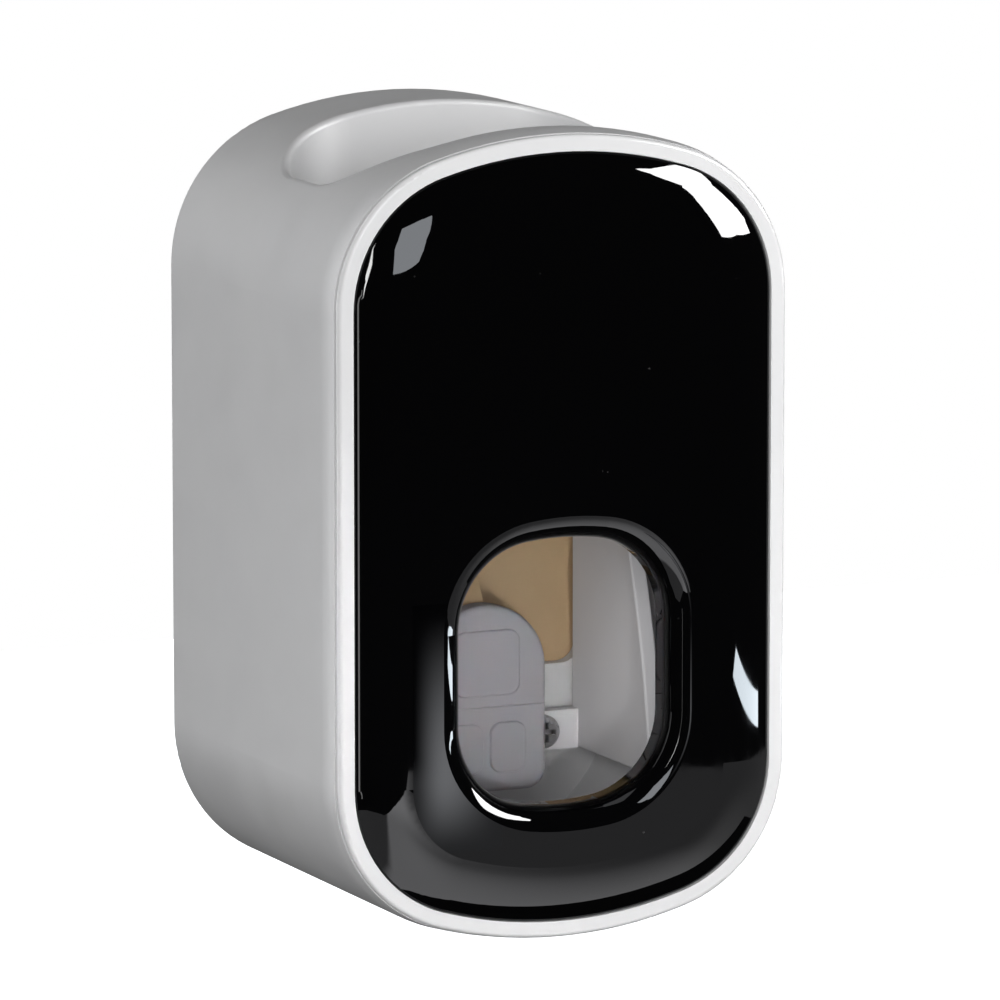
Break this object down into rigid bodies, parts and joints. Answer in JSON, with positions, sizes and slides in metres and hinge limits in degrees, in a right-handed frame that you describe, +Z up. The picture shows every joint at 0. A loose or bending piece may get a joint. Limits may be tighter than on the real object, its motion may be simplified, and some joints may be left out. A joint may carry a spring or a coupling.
{
  "type": "toothpaste dispenser",
  "caption": "Wall-hung toothpaste dispenser: arched white housing with a tube socket in the top and a glossy black front whose mouth holds a push lever that works a small piston pump.",
  "frame": {"origin": "centre of the adhesive pad's back face, where the dispenser meets the wall", "axes": "+Y into the wall, so the front faces -Y; +Z up; +X to the viewer's right"},
  "size_m": [0.07, 0.063, 0.115],
  "materials": {
    "white_shell": "satin",
    "white_bezel": "gloss",
    "black_panel": "mirror gloss",
    "frame_white": "satin",
    "pad_grey": "satin",
    "pump_clear": "translucent",
    "silicone": "soft matte",
    "bumper_rubber": "matte",
    "plate_tan": "satin",
    "foam": "matte",
    "tape_black": "matte",
    "steel": "bright",
    "magnet_nickel": "nickel plate"
  },
  "bodies": {
    "wall_mount": {"adhesive_pad": "foam", "wall_plate": "plate_tan"},
    "housing": {"housing_shell": "white_shell", "mechanism_frame": "frame_white", "mechanism_screws": "steel", "pump_cylinder": "pump_clear", "cylinder_plug": "frame_white", "plug_seal": "bumper_rubber", "inlet_collar": "silicone", "collar_ring": "frame_white", "inlet_valve_flap": "silicone", "outlet_valve": "silicone", "nozzle_tip": "frame_white", "lever_pin": "steel", "pin_clips": "steel", "lever_bumper": "bumper_rubber", "housing_magnets": "magnet_nickel", "return_spring": "steel"},
    "lever": {"push_lever": "plate_tan", "press_pad": "pad_grey"},
    "plunger": {"piston": "frame_white", "piston_seal": "bumper_rubber", "rod_button": "frame_white"},
    "front_cover": {"front_bezel": "white_bezel", "front_panel": "black_panel", "panel_tape": "tape_black", "cover_magnets": "magnet_nickel"}
  },
  "joints": [
    {"name": "lift_off", "type": "slide", "parent": "wall_mount", "child": "housing", "axis": [0, 0, 1], "range_m": [0, 0.0033]},
    {"name": "lever_swing", "type": "hinge", "parent": "housing", "child": "lever", "pos_m": [0, -0.015, 0.004], "axis": [1, 0, 0], "range_deg": [0, 14], "stiffness_Nm_per_rad": 0.068, "springref_deg": -13.18},
    {"name": "plunger_stroke", "type": "slide", "parent": "housing", "child": "plunger", "axis": [0, -1, 0], "range_m": [0, 0.0032], "deforming": ["return_spring"]},
    {"name": "cover_pull", "type": "slide", "parent": "housing", "child": "front_cover", "axis": [0, -1, 0], "range_m": [0, 0.03]}
  ],
  "couplings": [
    {"joint": "plunger_stroke", "follows": "lever_swing", "m_per_rad": 0.01295}
  ]
}
